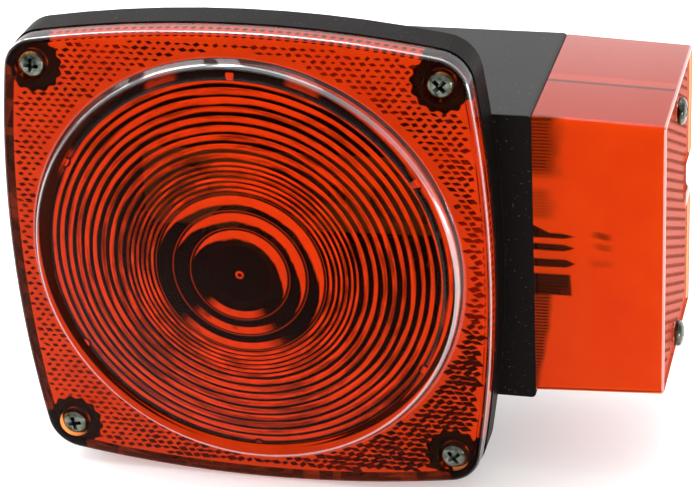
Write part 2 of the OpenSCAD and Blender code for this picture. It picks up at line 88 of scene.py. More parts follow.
back = Vector((math.sin(AZIMUTH) * math.cos(ELEVATION),
               -math.cos(AZIMUTH) * math.cos(ELEVATION),
               math.sin(ELEVATION)))
right = Vector((math.cos(AZIMUTH), math.sin(AZIMUTH), 0.0))
up = back.cross(right)
rolled_right = math.cos(ROLL) * right + math.sin(ROLL) * up
rolled_up = math.cos(ROLL) * up - math.sin(ROLL) * right

camera_data = bpy.data.cameras.new("camera")
camera_data.sensor_width, camera_data.lens = SENSOR, FOCAL_LENGTH
camera_data.clip_start, camera_data.clip_end = 0.01, 50.0
camera = bpy.data.objects.new("camera", camera_data)
bpy.context.scene.collection.objects.link(camera)
turn = Matrix((rolled_right, rolled_up, back)).transposed().to_4x4()
camera.matrix_world = Matrix.Translation(TARGET + back * DISTANCE) @ turn
bpy.context.scene.camera = camera
print("camera at, mm:", [round(c / MM) for c in camera.location])

# %% [markdown]
# ## Node graphs as plain expressions
# A material, and a Geometry Nodes tree, is a graph of nodes. Written node by node it is long and
# hard to read, so a small class wraps a socket and turns Python's operators into Math nodes.
# `1 - mask` works too, because the reflected operators are there. Any other node comes from one
# method, `node`, which takes the node's type, its settings and its inputs.

# %% A socket that understands arithmetic
class Wire:
    def __init__(self, graph, socket):
        self.graph, self.socket = graph, socket

    def math(self, operation, *others):
        return self.graph.node("ShaderNodeMath", {"operation": operation},
                               dict(enumerate((self, *others))))

    def __add__(self, other):
        return self.math("ADD", other)

    def __sub__(self, other):
        return self.math("SUBTRACT", other)

    def __rsub__(self, other):
        return (self * -1.0) + other

    def __mul__(self, other):
        return self.math("MULTIPLY", other)

    def __truediv__(self, other):
        return self.math("DIVIDE", other)

    def __pow__(self, other):
        return self.math("POWER", other)

    def __lt__(self, other):
        return self.math("LESS_THAN", other)

    def __gt__(self, other):
        return self.math("GREATER_THAN", other)

    __radd__, __rmul__ = __add__, __mul__

    def smooth(self, low, high):
        """0 at low and 1 at high, smooth between; low may be the larger."""
        ends = (0.0, 1.0) if low < high else (1.0, 0.0)
        return self.graph.node("ShaderNodeMapRange", {"interpolation_type": "SMOOTHSTEP"},
                               {"Value": self, "From Min": min(low, high), "From Max": max(low, high),
                                "To Min": ends[0], "To Max": ends[1]})


def highest(wires):
    """The largest of several values."""
    top = wires[0]
    for wire in wires[1:]:
        top = top.math("MAXIMUM", wire)
    return top


def distance(a, b):
    return (a * a + b * b) ** 0.5


# %% A graph of nodes
class Graph:
    def __init__(self, tree):
        self.tree = tree

    def set(self, node, key, value):
        socket = node.inputs[key]
        if isinstance(value, Wire):
            self.tree.links.new(value.socket, socket)
        elif isinstance(value, tuple) and socket.type == "RGBA":
            socket.default_value = (*value, 1.0)
        else:
            socket.default_value = value

    def node(self, kind, settings=None, inputs=None, output=0):
        made = self.tree.nodes.new(kind)
        for key, value in (settings or {}).items():
            setattr(made, key, value)
        for key, value in (inputs or {}).items():
            self.set(made, key, value)
        return Wire(self, made.outputs[output])

    def split(self, vector):
        parts = self.node("ShaderNodeSeparateXYZ", {}, {0: vector})
        return [Wire(self, out) for out in parts.socket.node.outputs]

    def join(self, x, y, z):
        return self.node("ShaderNodeCombineXYZ", {}, {"X": x, "Y": y, "Z": z})


# %% Materials
class Finish(Graph):
    """One material: its principled shader and the nodes that feed it."""

    def __init__(self, name):
        self.material = bpy.data.materials.new(name)
        self.material.use_nodes = True
        super().__init__(self.material.node_tree)
        self.shader = self.tree.nodes["Principled BSDF"]
        self.place = self.node("ShaderNodeTexCoord", output="Object")

    def axes(self):
        """X, Y and Z of the place, in millimetres."""
        return [axis * 1000.0 for axis in self.split(self.place)]

    def noise(self, scale, detail=2.0, roughness=0.5, vector=None):
        return self.node("ShaderNodeTexNoise", {}, {"Vector": vector or self.place, "Scale": scale,
                                                    "Detail": detail, "Roughness": roughness})

    def mix(self, factor, a, b):
        return self.node("ShaderNodeMix", {"data_type": "RGBA"}, {"Factor": factor, 6: a, 7: b},
                         output=2)

    def bump(self, height, depth, normal=None):
        inputs = {"Height": height, "Distance": depth}
        if normal:
            inputs["Normal"] = normal
        return self.node("ShaderNodeBump", {}, inputs)

    def round_edges(self, radius):
        return self.node("ShaderNodeBevel", {"samples": 4}, {"Radius": radius})

    def finish(self, **values):
        for key, value in values.items():
            self.set(self.shader, key.replace("_", " "), value)
        return self.material


print("graph helpers ready")

# %% [markdown]
# ## Floor and studio light
# The light stands on a pale floor in a bright tent. Clear red plastic has little colour of its own:
# it shows what is around and behind it, so the surroundings are part of the look. The tent is
# brighter behind the light than in front of it, so that the lens isn't veiled. Five soft lamps give
# the gleams, and the floor glows a little, which keeps the shadow pale.

# %% Floor, world and lamps
def plain_object(name, mesh):
    made = bpy.data.objects.new(name, mesh)
    bpy.context.scene.collection.objects.link(made)
    return made


FLOOR_Z = cad_box[0].z - 0.2 * MM
FLOOR_HALF = 6.0
corners = [(sx * FLOOR_HALF, sy * FLOOR_HALF, FLOOR_Z)
           for sx, sy in ((-1, -1), (1, -1), (1, 1), (-1, 1))]
floor_mesh = bpy.data.meshes.new("floor")
floor_mesh.from_pydata(corners, [], [(0, 1, 2, 3)])
floor = plain_object("floor", floor_mesh)
floor_paint = Finish("pale_floor")
floor.data.materials.append(floor_paint.finish(
    Base_Color=floor_paint.mix(floor_paint.noise(6.0), (0.97, 0.97, 0.97), (0.99, 0.99, 0.99)),
    Roughness=0.9, Specular_IOR_Level=0.1, Emission_Color=(1.0, 1.0, 1.0), Emission_Strength=0.3))

scene = bpy.context.scene
scene.view_settings.view_transform = "Standard"
world = bpy.data.worlds.new("tent")
scene.world = world
world.use_nodes = True
tent = Graph(world.node_tree)
background = tent.tree.nodes["Background"]
to_back = tent.split(tent.node("ShaderNodeTexCoord"))[1]
FRONT_LIGHT, BACK_LIGHT = 0.7, 1.6
tent.set(background, "Color", (1.0, 1.0, 1.0))
tent.set(background, "Strength", to_back.smooth(-0.5, 0.9) * (BACK_LIGHT - FRONT_LIGHT) + FRONT_LIGHT)


def soft_box(name, place, aim, size, power):
    """A rectangular lamp at place that points at aim; metres and watts."""
    lamp = bpy.data.lights.new(name, "AREA")
    lamp.shape, lamp.energy = "RECTANGLE", power
    lamp.size, lamp.size_y = size
    made = bpy.data.objects.new(name, lamp)
    bpy.context.scene.collection.objects.link(made)
    made.location = Vector(place)
    made.rotation_mode = "QUATERNION"
    made.rotation_quaternion = (Vector(aim) - Vector(place)).to_track_quat("-Z", "Y")


soft_box("soft_box_top", (0.1, 0.1, 0.9), (0.02, -0.03, 0), (0.7, 0.7), 2.0)
LENS_MIDDLE = (0, -0.06, 0)
soft_box("soft_box_right", (0.62, -0.35, -0.02), LENS_MIDDLE, (0.3, 0.12), 1.6)
soft_box("strip_top", (-0.19, -0.01, 0.77), LENS_MIDDLE, (0.8, 0.12), 1.7)
soft_box("soft_box_left_high", (-0.47, 0.03, 0.66), LENS_MIDDLE, (0.34, 0.34), 1.9)
soft_box("soft_box_left_low", (-0.72, 0.1, 0.34), LENS_MIDDLE, (0.34, 0.34), 1.9)
print("floor at, mm:", round(FLOOR_Z / MM, 1))

# %% [markdown]
# ## Mesh helpers
# Turned pieces such as a lens dome or a screw head are rings of points joined by quads. Flat plates
# with holes are filled between loops. Both go into one skin of points and faces, and points that
# meet are merged, so that each piece is one closed skin with its faces outwards.

# %% Mesh helpers
MERGE, SHARP = 0.002, math.radians(35)


def inside(polygon, x, y):
    """True if the point lies in the polygon: a ray from it crosses an odd number of sides."""
    odd = False
    for (x0, y0), (x1, y1) in zip(polygon, polygon[1:] + polygon[:1]):
        if (y0 > y) != (y1 > y) and x < x0 + (y - y0) * (x1 - x0) / (y1 - y0):
            odd = not odd
    return odd


class Skin:
    """Points and faces of one piece, in millimetres, each face with a material number."""

    def __init__(self):
        self.bm = bmesh.new()

    def loop(self, points):
        return [self.bm.verts.new(p) for p in points]

    def bridge(self, a, b, paint=0):
        for i in range(len(a)):
            j = (i + 1) % len(a)
            self.bm.faces.new((a[i], a[j], b[j], b[i])).material_index = paint

    def bridge_all(self, loops, paint=0):
        for a, b in zip(loops, loops[1:]):
            self.bridge(a, b, paint)

    def cap(self, loop, tip, paint=0):
        top = self.bm.verts.new(tip)
        for i, v in enumerate(loop):
            self.bm.faces.new((v, loop[(i + 1) % len(loop)], top)).material_index = paint

    def fill(self, loops, paint=0, flat=1):
        """Fills between the first loop and the holes in it; flat is the axis that is constant."""
        axes = [i for i in range(3) if i != flat]
        rings = [[tuple(v.co[i] for i in axes) for v in loop] for loop in loops]
        verts = [v for loop in loops for v in loop]
        edges, start = [], 0
        for ring in rings:
            edges += [(start + i, start + (i + 1) % len(ring)) for i in range(len(ring))]
            start += len(ring)
        found = delaunay_2d_cdt([Vector(p) for ring in rings for p in ring], edges, [], 0, 1e-7)
        source = [i[0] if i else None for i in found[3]]
        for face in found[2]:
            x, y = (sum(found[0][i][k] for i in face) / len(face) for k in (0, 1))
            if inside(rings[0], x, y) and not any(inside(ring, x, y) for ring in rings[1:]):
                self.bm.faces.new([verts[source[i]] for i in face]).material_index = paint

    def done(self, name, paints):
        """Closes the skin and returns it as an object; the print should say 0 open edges."""
        bmesh.ops.remove_doubles(self.bm, verts=self.bm.verts, dist=MERGE)
        bmesh.ops.recalc_face_normals(self.bm, faces=self.bm.faces)
        bmesh.ops.scale(self.bm, vec=(MM, MM, MM), verts=self.bm.verts)
        open_edges = sum(len(e.link_faces) != 2 for e in self.bm.edges)
        mesh = bpy.data.meshes.new(name)
        self.bm.to_mesh(mesh)
        self.bm.free()
        for paint in paints:
            mesh.materials.append(paint)
        mesh.shade_smooth()
        mesh.set_sharp_from_angle(angle=SHARP)
        print(f"{name}: {len(mesh.polygons)} faces, {open_edges} open edges")
        return plain_object(name, mesh)


FACE_Y = -67.0


def forward(x, h, z):
    """A point h millimetres in front of the lens border's plane."""
    return (x, FACE_Y - h, z)


def around(r, count):
    """Pairs of numbers that go once round a circle."""
    return [(r * math.cos(math.tau * i / count), r * math.sin(math.tau * i / count))
            for i in range(count)]


def circle(x, z, r, h, count):
    return [forward(x + a, h, z + b) for a, b in around(r, count)]


print("mesh helpers ready")

# %% [markdown]
# ## Main lens
# The lens is one moulding of clear red acrylic: a flat border with a low bulge to each side, a skirt
# that laps over the cup, four sunk screw seats, and a round optic that stands proud like a shallow
# dome. The front is smooth. The back of the optic is cut with rings of small roof prisms, and the
# back of the border with reflex prisms. Prisms throw light back, so they look bright red, and the
# flats between them show the dark inside. So the front skin gets a clear red glass, and the back
# skin a bright red that turns dark and partly clear where the real one has flats. The back skin
# also has a faint painted glow for the light that the prisms throw back, painted shade and painted
# highlights on the rings, and a painted shadow behind the rim.

# %% Outline of the bulged square
LENS_HALF, BULGE_R, CORNER_R = 61.0, 310.0, 9.0


def outline(grow, sides=28, rounds=10):
    """Points in X and Z of the bulged square, grown outwards by grow."""
    half, r, corner = LENS_HALF + grow, BULGE_R + grow, CORNER_R + grow
    d = r - half
    c = (-d + math.sqrt(2 * (r - corner) ** 2 - d * d)) / 2
    turn = math.atan2(c, c + d)
    points = []
    for quarter in range(4):
        for i in range(sides + rounds):
            if i < sides:
                t = -turn + 2 * turn * i / sides
                x, z = r * math.cos(t) - d, r * math.sin(t)
            else:
                t = turn + (math.pi / 2 - 2 * turn) * (i - sides) / rounds
                x, z = c + corner * math.cos(t), c + corner * math.sin(t)
            for _ in range(quarter):
                x, z = -z, x
            points.append((x, z))
    return points


SKIRT, WALL = 5.5, 2.4
OPTIC_R, DOME_R, OPTIC_BACK_R = 54.4, 49.6, 51.6
SCREW, SEAT_DEEP, SEAT_R, HOLE_R, COLUMN_R = 50.0, 2.0, 3.9, 1.95, 3.5
SCREW_PLACES = [(sx * SCREW, sz * SCREW) for sx in (-1, 1) for sz in (-1, 1)]
print("outline points:", len(outline(0)))

# %% Profile of the optic: smooth outside, ringed inside
COARSE, FINE_PITCH, WIDE = 2.25, 1.3, 4.48
COARSE_FROM, FINE_FROM, WIDE_FROM = 29.25, 21.45, 8.0
DOME_EDGE, DOME_RISE = 1.8, 4.7
RINGS = ([WIDE_FROM + WIDE * i for i in range(3)] + [FINE_FROM + FINE_PITCH * i for i in range(6)]
         + [COARSE_FROM + COARSE * i for i in range(10)])


def dome(r):
    """Height of the dome's front above the border at radius r."""
    return DOME_EDGE + DOME_RISE * (1 - (r / DOME_R) ** 2)


def outer_profile():
    """(radius, height) pairs from the rim of the optic to the middle."""
    rim = [(OPTIC_R + 0.5, 0.0), (OPTIC_R + 0.2, 0.06), (OPTIC_R, 0.25), (53.5, 1.85), (53.25, 2.2),
           (52.95, 2.36), (52.6, 2.4), (50.6, 2.4), (50.2, 2.25), (49.9, 1.95), (DOME_R, DOME_EDGE)]
    return rim + [(r, dome(r)) for r in (46, 42, 37, 32, 27, 22, 17, 12.4, 9, 6, 3)]


def inner_profile():
    """The back of the optic, from the middle out: a flat and a roof prism in each ring."""
    points = [(r, dome(r) - WALL) for r in (2.5, 5.0)]
    for low, high in zip(RINGS, RINGS[1:]):
        pitch = high - low
        base = dome(low) - WALL
        tall = min(0.36 * pitch, 0.85)
        points += [(low, base), (low + 0.2 * pitch, base), (low + 0.6 * pitch, base - tall)]
    rim_back = dome(RINGS[-1]) - WALL
    return points + [(RINGS[-1], rim_back), (OPTIC_BACK_R - 0.6, rim_back), (OPTIC_BACK_R, -WALL)]


print("rings behind the dome:", len(RINGS) - 1)

# %% Clear red front skin
CLEAR_RED, ACRYLIC_IOR = (0.98, 0.3, 0.08), 1.49


def clear_red(paint, **gleam):
    """Red acrylic with faint flow marks; gleam says how it mirrors."""
    flow = paint.bump(paint.noise(45.0, 2.0), 0.00004)
    return paint.finish(Base_Color=CLEAR_RED, Roughness=0.04, IOR=ACRYLIC_IOR,
                        Transmission_Weight=1.0, Normal=flow, **gleam)


def polar(x, z):
    """Radius in millimetres and angle in radians about the optic's axis."""
    return distance(x, z), z.math("ARCTAN2", x)


RIGHT_DOWN, UP_LEFT, DOWN = -0.8, 2.5, -1.57


def toward(angle, direction, low, high):
    """1 where the place lies in that direction from the middle, 0 on the far side."""
    return (angle - direction).math("COSINE").smooth(low, high)


END_EDGE_X = 99.5


def gleaming_edge():
    """The same acrylic on rounded edges, with painted highlights: a mirroring coat on thin lines where
    they catch the tent.
    """
    paint = Finish("bright_edged_red_acrylic")
    x, y, z = paint.axes()
    r, angle = polar(x, z)
    wider = toward(angle, RIGHT_DOWN, 0.1, 0.9) * 0.7
    rim_highlight = (r + wider).smooth(52.85, 53.0) * r.smooth(53.8, 53.5)
    border_highlight = y.smooth(-66.95, -66.85) * y.smooth(-66.3, -66.45)
    end_highlight = x.smooth(END_EDGE_X, END_EDGE_X + 0.15) * 0.7
    line = highest([rim_highlight, border_highlight, end_highlight])
    return clear_red(paint, Coat_Weight=line, Coat_IOR=3.2, Coat_Roughness=0.1)


# %% Ringed back skin
def fraction(wire):
    return wire.math("FRACT")


def blend(paint, factor, a, b):
    """A value that goes from a to b with the factor."""
    return paint.node("ShaderNodeMix", {}, {"Factor": factor, 2: a, 3: b})


PINS, PIN_AT_R = 6, 50.6


def pin_marks(r, angle):
    """Bright round pins in the flat between the rings and the rim, each with a dark outline."""
    part = math.tau / PINS
    along = (fraction(angle / part) - 0.5) * part * PIN_AT_R
    from_pin = distance(along, r - PIN_AT_R)
    outline_ring = (from_pin - 1.45).math("ABSOLUTE").smooth(0.3, 0.15)
    pins = from_pin.smooth(1.15, 0.9) - outline_ring
    return pins * from_pin.smooth(1.9, 1.8) * r.smooth(51.15, 51.0)


def wide_rings(r, angle, smear, patchy):
    """Painted light of the three wide inner rings: lit crescents, a lit band at the bottom and painted
    highlights on the edges.
    """
    part = fraction((r - WIDE_FROM) / WIDE)
    lean = toward(angle, 1.1, -0.35, 0.8) * 0.6
    crescent = (part - 0.92 + (smear - 0.5) * 0.35 + lean).smooth(-0.06, 0.06) * part.smooth(0.9, 0.8)
    band = part.smooth(0.45, 0.55) * part.smooth(0.95, 0.86) * toward(angle, -1.75, 0.72, 0.95)
    edges = part.smooth(0.045, 0.015) + part.smooth(0.955, 0.985)
    light = crescent + band * (patchy + 0.7).smooth(0.3, 0.6) + edges * 0.5
    return light.math("MINIMUM", 1.0)


# %% Paint of the rings
def ring_red():
    """Bright prisms and dark flats in each ring, painted shade, and a near black middle with a painted
    bulb glint.
    """
    paint = Finish("ringed_red_acrylic")
    x, _, z = paint.axes()
    r, angle = polar(x, z)
    coarse, fine = (r - COARSE_FROM) / COARSE, (r - FINE_FROM) / FINE_PITCH
    cos, sin = angle.math("COSINE"), angle.math("SINE")
    # read in ring number and angle, noise makes arcs that run along the rings
    ring_place = paint.join(coarse.math("FLOOR") * 0.9, cos * 2.2, sin * 2.2)
    patchy = (paint.noise(1.0, 2.0, 0.6, ring_place) - 0.5) * 1.1
    smear = paint.noise(1.0, 4.0, 0.65, paint.join(r * 0.55, cos * 2.2, sin * 2.2))
    # painted shade: the rings are darker and their dark flats wider to the sides, and darker to the
    # upper left and the bottom
    at_sides = cos ** 2.0
    upper_left = toward(angle, UP_LEFT, 0.55, 0.95) * r.smooth(38.0, 30.0)
    darker = upper_left * 0.14 + at_sides * 0.04 + toward(angle, DOWN, 0.2, 0.9) * 0.06
    shade = (smear + darker).smooth(0.48, 0.74) * r.smooth(20.0, 23.0)
    dark_width = at_sides * 0.17 + 0.35 + patchy * 0.5
    coarse_dark = (fraction(coarse) - dark_width).smooth(0.09, -0.09)
    fine_dark = (fraction(fine) - dark_width).smooth(0.12, -0.12)
    light = blend(paint, r.smooth(21.2, 21.6), wide_rings(r, angle, smear, patchy), 1 - fine_dark)
    light = blend(paint, r.smooth(29.0, 29.4), light, 1 - coarse_dark)
    # a painted shadow band just inside the rim, wider to the upper left and broken by lighter dashes
    dashes = (angle * 9.0).math("SINE").smooth(-0.9, -0.6) * 0.5 + 0.5
    wider = toward(angle, UP_LEFT, -0.6, 0.9) * 0.8
    shadow_band = r.smooth(49.2, 49.5) * (r - wider).smooth(51.1, 50.7) * dashes
    light = (light * (1 - shadow_band) + pin_marks(r, angle)).math("MAXIMUM", 0.0)
    # the middle is painted near black, with a painted glint of the bulb in it
    middle = r.smooth(8.3, 8.0)
    glint = (r - 0.8).math("ABSOLUTE").smooth(0.4, 0.15) * smear.smooth(0.35, 0.5)
    light = light * (1 - shade * 0.7) * (1 - middle) + glint
    streak = (paint.noise(420.0, 2.0) + smear) * 0.5
    bright = paint.mix(streak, (0.96, 0.17, 0.03), (0.6, 0.055, 0.01))
    colour = paint.mix(light, (0.004, 0.001, 0.0005), bright)
    alpha = (light * 0.28 + 0.72 + middle * 0.25).math("MINIMUM", 1.0)
    # the emission is a faint painted glow for the light that the prisms throw back
    return paint.finish(Base_Color=colour, Roughness=0.35, Alpha=alpha, Specular_IOR_Level=0.0,
                        Emission_Color=colour, Emission_Strength=0.28)


# %% Back skin of the border
SCALLOPS, DOT_PITCH = 14.0, 2.1


def reflex_red():
    """The border's back: bright red, a painted shadow behind the rim, and dark in a scalloped patch at
    each screw.
    """
    paint = Finish("reflex_red_acrylic")
    x, y, z = paint.axes()
    r, angle = polar(x, z)
    ax, az = x.math("ABSOLUTE"), z.math("ABSOLUTE")
    dx, dz = ax - SCREW, az - SCREW
    scallop = (dz.math("ARCTAN2", dx) * SCALLOPS).math("SINE") * 0.35
    from_screw = distance(dx, dz) + scallop
    prisms = from_screw.smooth(6.9, 7.3) * (ax + az).smooth(107.0, 105.5)
    along = blend(paint, ax > 58.0, x, z)
    dot_x, dot_y = (fraction(along / DOT_PITCH) - 0.5) * DOT_PITCH, y + 62.7
    dot = distance(dot_x, dot_y).smooth(0.75, 0.5) * y.smooth(-64.4, -64.2)
    # a painted shadow behind the rim, narrower to the lower right
    narrower = toward(angle, RIGHT_DOWN, 0.1, 0.9) * 0.9
    rim_shadow = (r + narrower).smooth(53.6, 53.3)
    prisms = prisms * (1 - dot * 0.75) * (1 - rim_shadow * 0.9)
    bright = paint.mix(paint.noise(120.0, 3.0), (0.86, 0.155, 0.03), (0.6, 0.07, 0.012))
    colour = paint.mix(prisms, (0.012, 0.002, 0.001), bright)
    # the emission is a faint painted glow for the light that the prisms throw back
    return paint.finish(Base_Color=colour, Roughness=0.35, Alpha=prisms * 0.55 + 0.4,
                        Specular_IOR_Level=0.1, Emission_Color=colour, Emission_Strength=0.25)


# %% Build the main lens
ROUND, RIM_LOOPS = 240, 7
FRONT, OPTIC, BORDER, EDGE = range(4)


def outline_loops(skin, sizes):
    """Loops round the bulged square, for (growth, height) pairs."""
    return [skin.loop([forward(x, h, z) for x, z in outline(grow)]) for grow, h in sizes]


def build_main_lens(paints):
    """The lens from its edge inwards, with its four finishes: front, optic, border and edge."""
    skin = Skin()
    edge = outline_loops(skin, ((-0.75, 0.0), (-0.32, -0.1), (-0.08, -0.36), (0.0, -0.75),
                                (0.0, -SKIRT)))
    skin.bridge_all(edge, EDGE)
    hidden = [edge[-1]] + outline_loops(skin, ((-WALL, -SKIRT), (-WALL, -WALL - 0.1),
                                               (-WALL - 0.1, -WALL)))
    skin.bridge_all(hidden, BORDER)
    outer = [skin.loop(circle(0, 0, r, h, ROUND)) for r, h in outer_profile()]
    skin.bridge_all(outer[:RIM_LOOPS], EDGE)
    skin.bridge_all(outer[RIM_LOOPS - 1:], FRONT)
    skin.cap(outer[-1], forward(0, dome(0), 0))
    inner = [skin.loop(circle(0, 0, r, h, ROUND)) for r, h in inner_profile()]
    skin.bridge_all(inner, OPTIC)
    skin.cap(inner[0], forward(0, dome(0) - WALL, 0), OPTIC)
    seats, columns = [], []
    for x, z in SCREW_PLACES:
        hole = [skin.loop(circle(x, z, r, h, 32)) for r, h in
                ((SEAT_R + 0.25, 0.0), (SEAT_R, -0.25), (SEAT_R, -SEAT_DEEP), (HOLE_R, -SEAT_DEEP),
                 (HOLE_R, -SKIRT + 0.5), (COLUMN_R, -SKIRT + 0.5), (COLUMN_R, -WALL))]
        skin.bridge_all(hole)
        seats.append(hole[0])
        columns.append(hole[-1])
    skin.fill([edge[0], outer[0], *seats])
    skin.fill([hidden[-1], inner[-1], *columns], BORDER)
    return skin.done("main_lens_moulding", paints)


glass_red = clear_red(Finish("clear_red_acrylic"), Specular_Tint=(0.05, 0.015, 0.01))
edge_red = gleaming_edge()
main_lens = build_main_lens([glass_red, ring_red(), reflex_red(), edge_red])
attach(main_lens, "housing")
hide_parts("main_lens")

# %% [markdown]
# ## Reflex prisms
# Behind the border the lens carries hundreds of small corner prisms in staggered rows. Each shows
# one darker facet between bright ones, and that facet's dark colour is painted shade. A grid of
# points is thinned to the area outside the optic and away from the screws, and one small facet is
# copied to every point. The facets grow towards the lower right, where more of each prism is seen
# dark, and their painted shade deepens there. Geometry Nodes do this well: the grid, the rule that
# thins it and the copying are one small tree with named sizes.

# %% A tree builder for Geometry Nodes
class Growth(Graph):
    """A Geometry Nodes tree with named float inputs."""

    def __init__(self, name, sizes):
        super().__init__(bpy.data.node_groups.new(name, "GeometryNodeTree"))
        face = self.tree.interface
        face.new_socket("Geometry", in_out="INPUT", socket_type="NodeSocketGeometry")
        self.sockets = {}
        for key in sizes:
            item = face.new_socket(key, in_out="INPUT", socket_type="NodeSocketFloat")
            self.sockets[key] = item.identifier
        face.new_socket("Geometry", in_out="OUTPUT", socket_type="NodeSocketGeometry")
        self.sizes = sizes
        self.entry = self.tree.nodes.new("NodeGroupInput")

    def size(self, key):
        return Wire(self, self.entry.outputs[key])

    def grown(self, name, geometry, paint, start=None):
        """Ends the tree, runs it on a new object and returns that object as a plain mesh."""
        real = self.node("GeometryNodeRealizeInstances", {}, {0: geometry})
        coated = self.node("GeometryNodeSetMaterial", {}, {"Geometry": real, "Material": paint})
        exit_node = self.tree.nodes.new("NodeGroupOutput")
        self.tree.links.new(coated.socket, exit_node.inputs[0])
        made = plain_object(name, start or bpy.data.meshes.new(name))
        modifier = made.modifiers.new("growth", "NODES")
        modifier.node_group = self.tree
        for key, value in self.sizes.items():
            modifier[self.sockets[key]] = value
        graph = bpy.context.evaluated_depsgraph_get()
        mesh = bpy.data.meshes.new_from_object(made.evaluated_get(graph))
        made.modifiers.clear()
        made.data = mesh
        print(f"{name}: {len(mesh.polygons)} faces")
        return made


# %% Patterns and their copies
def pattern_object(name, skin):
    """A mesh that a tree copies; it isn't a piece, so it stays out of the scene."""
    made = skin.done(name, [])
    bpy.context.scene.collection.objects.unlink(made)
    return made


def copies(growth, points, pattern, turn=None, scale=None):
    shape = growth.node("GeometryNodeObjectInfo", {"transform_space": "ORIGINAL"},
                        {"Object": pattern}, output=4)
    inputs = {"Points": points, "Instance": shape}
    if turn is not None:
        inputs["Rotation"] = turn
    if scale is not None:
        inputs["Scale"] = scale
    return growth.node("GeometryNodeInstanceOnPoints", {}, inputs)


print("growth helpers ready")

# %% One dark facet
def facet_skin(long_half, short_half, height, axis):
    """A low four-sided pyramid with its point forward along -Y, or along +X."""
    def turned(x, y, z):
        return (x, y, z) if axis == "y" else (-y, x, z)

    skin = Skin()
    rim = ((long_half, 0.15), (0.1, short_half), (-long_half, -0.15), (-0.1, -short_half))
    base = skin.loop([turned(x, 0, z) for x, z in rim])
    skin.cap(base, turned(0, -height, 0))
    skin.cap(base[::-1], turned(0, 0.05, 0))
    return skin


def facet_paint():
    paint = Finish("dark_prism_facet")
    x, _, z = paint.axes()
    # painted shade: the facets are dark, and darker towards the lower right
    lower_right_shade = (x - z).smooth(20.0, 100.0)
    cloud = paint.noise(38.0, 2.0) * 0.7 + paint.noise(400.0) * 0.3
    tone = (cloud - lower_right_shade * 0.14).smooth(0.38, 0.62)
    return paint.finish(Base_Color=paint.mix(tone, (0.05, 0.004, 0.001), (0.3, 0.02, 0.003)),
                        Roughness=0.3, Specular_IOR_Level=0.1)


facet_red = facet_paint()

# %% Facets behind the border
FACET_PITCH, ROW_STEP, EVEN_OFFSET = 2.35, 0.62, 100.0


def border_facets():
    growth = Growth("border facets", {"Pitch": FACET_PITCH, "Optic Radius": 55.6, "Screw Gap": 7.6,
                                      "Edge": 58.0, "Depth": -WALL + 0.06})
    columns = 2 * int(LENS_HALF / FACET_PITCH) + 1
    rows = 2 * int(LENS_HALF / (FACET_PITCH * ROW_STEP)) + 1
    pitch = growth.size("Pitch") * MM
    grid = growth.node("GeometryNodeMeshGrid", {},
                       {"Size X": pitch * (columns - 1), "Size Y": pitch * ((rows - 1) * ROW_STEP),
                        "Vertices X": columns, "Vertices Y": rows})
    place = growth.node("GeometryNodeInputPosition")
    x, y, _ = growth.split(place)
    row = (y / (pitch * ROW_STEP) + EVEN_OFFSET).math("ROUND").math("MODULO", 2.0)
    spot = growth.join(x + pitch * 0.5 * row, (growth.size("Depth") * -MM) + FACE_Y * MM, y)
    cloud = growth.node("GeometryNodeSetPosition", {}, {"Geometry": grid, "Position": spot})
    x, _, z = [axis * 1000.0 for axis in growth.split(place)]
    ax, az = x.math("ABSOLUTE"), z.math("ABSOLUTE")
    bulge = 1.0 / (2 * BULGE_R)
    near_edge = (ax + z * z * bulge).math("MAXIMUM", az + x * x * bulge) > growth.size("Edge")
    in_optic = distance(x, z) < growth.size("Optic Radius")
    at_screw = distance(ax - SCREW, az - SCREW) < growth.size("Screw Gap")
    in_corner = (ax + az) > 2 * SCREW + 5.0
    kept = growth.node("GeometryNodeDeleteGeometry", {"domain": "POINT"},
                       {"Geometry": cloud,
                        "Selection": highest([near_edge, in_optic, at_screw, in_corner])})
    facet = pattern_object("border facet", facet_skin(1.05, 0.6, 0.3, "y"))
    sizes = growth.node("FunctionNodeRandomValue", {"data_type": "FLOAT_VECTOR"},
                        {"Min": (0.55, 1.0, 0.6), "Max": (1.2, 1.0, 1.15), "Seed": 3})
    open_out = (x - z).smooth(-20.0, 90.0) * 0.65 + 1.0
    sizes = growth.node("ShaderNodeVectorMath", {"operation": "SCALE"}, {0: sizes, "Scale": open_out})
    turns = growth.node("FunctionNodeRandomValue", {"data_type": "FLOAT_VECTOR"},
                        {"Min": (0.0, 0.05, 0.0), "Max": (0.0, 0.55, 0.0), "Seed": 5})
    return growth.grown("main_lens_prism_facets", copies(growth, kept, facet, turns, sizes), facet_red)


border_prisms = border_facets()
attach(border_prisms, "housing")

# %% [markdown]
# ## Side marker lens
# The side lens is a plain open box of the same clear red acrylic, moulded with a little draft so
# that it leaves its tool. Two long screws run through columns in it. Its front wall has fine flutes
# inside, which run lengthwise and blur the bulb holder behind them, and its end wall has reflex
# prisms. The box is built as rounded rectangular rings that shrink towards the far end, and a
# Boolean cuts a hollow for a finger into the rear edge of the end. The dark image of the holder is
# painted on the inner skin, which is simpler than tracing light through such fine flutes.

# %% Sizes of the side lens
SIDE_FROM, SIDE_TO = 68.5, 100.2
SIDE_WALL, SIDE_DRAFT, SIDE_EDGE, SIDE_COLUMN_R = 0.7, 1.2, 0.6, 2.6
SIDE_LOW, SIDE_HIGH, SIDE_FRONT = -37.4, 37.2, -52.5
SIDE_SCREW_Y, SIDE_SCREWS_Z = -29.0, (-31.2, 30.2)
FRONT_DRAFT = 0.6


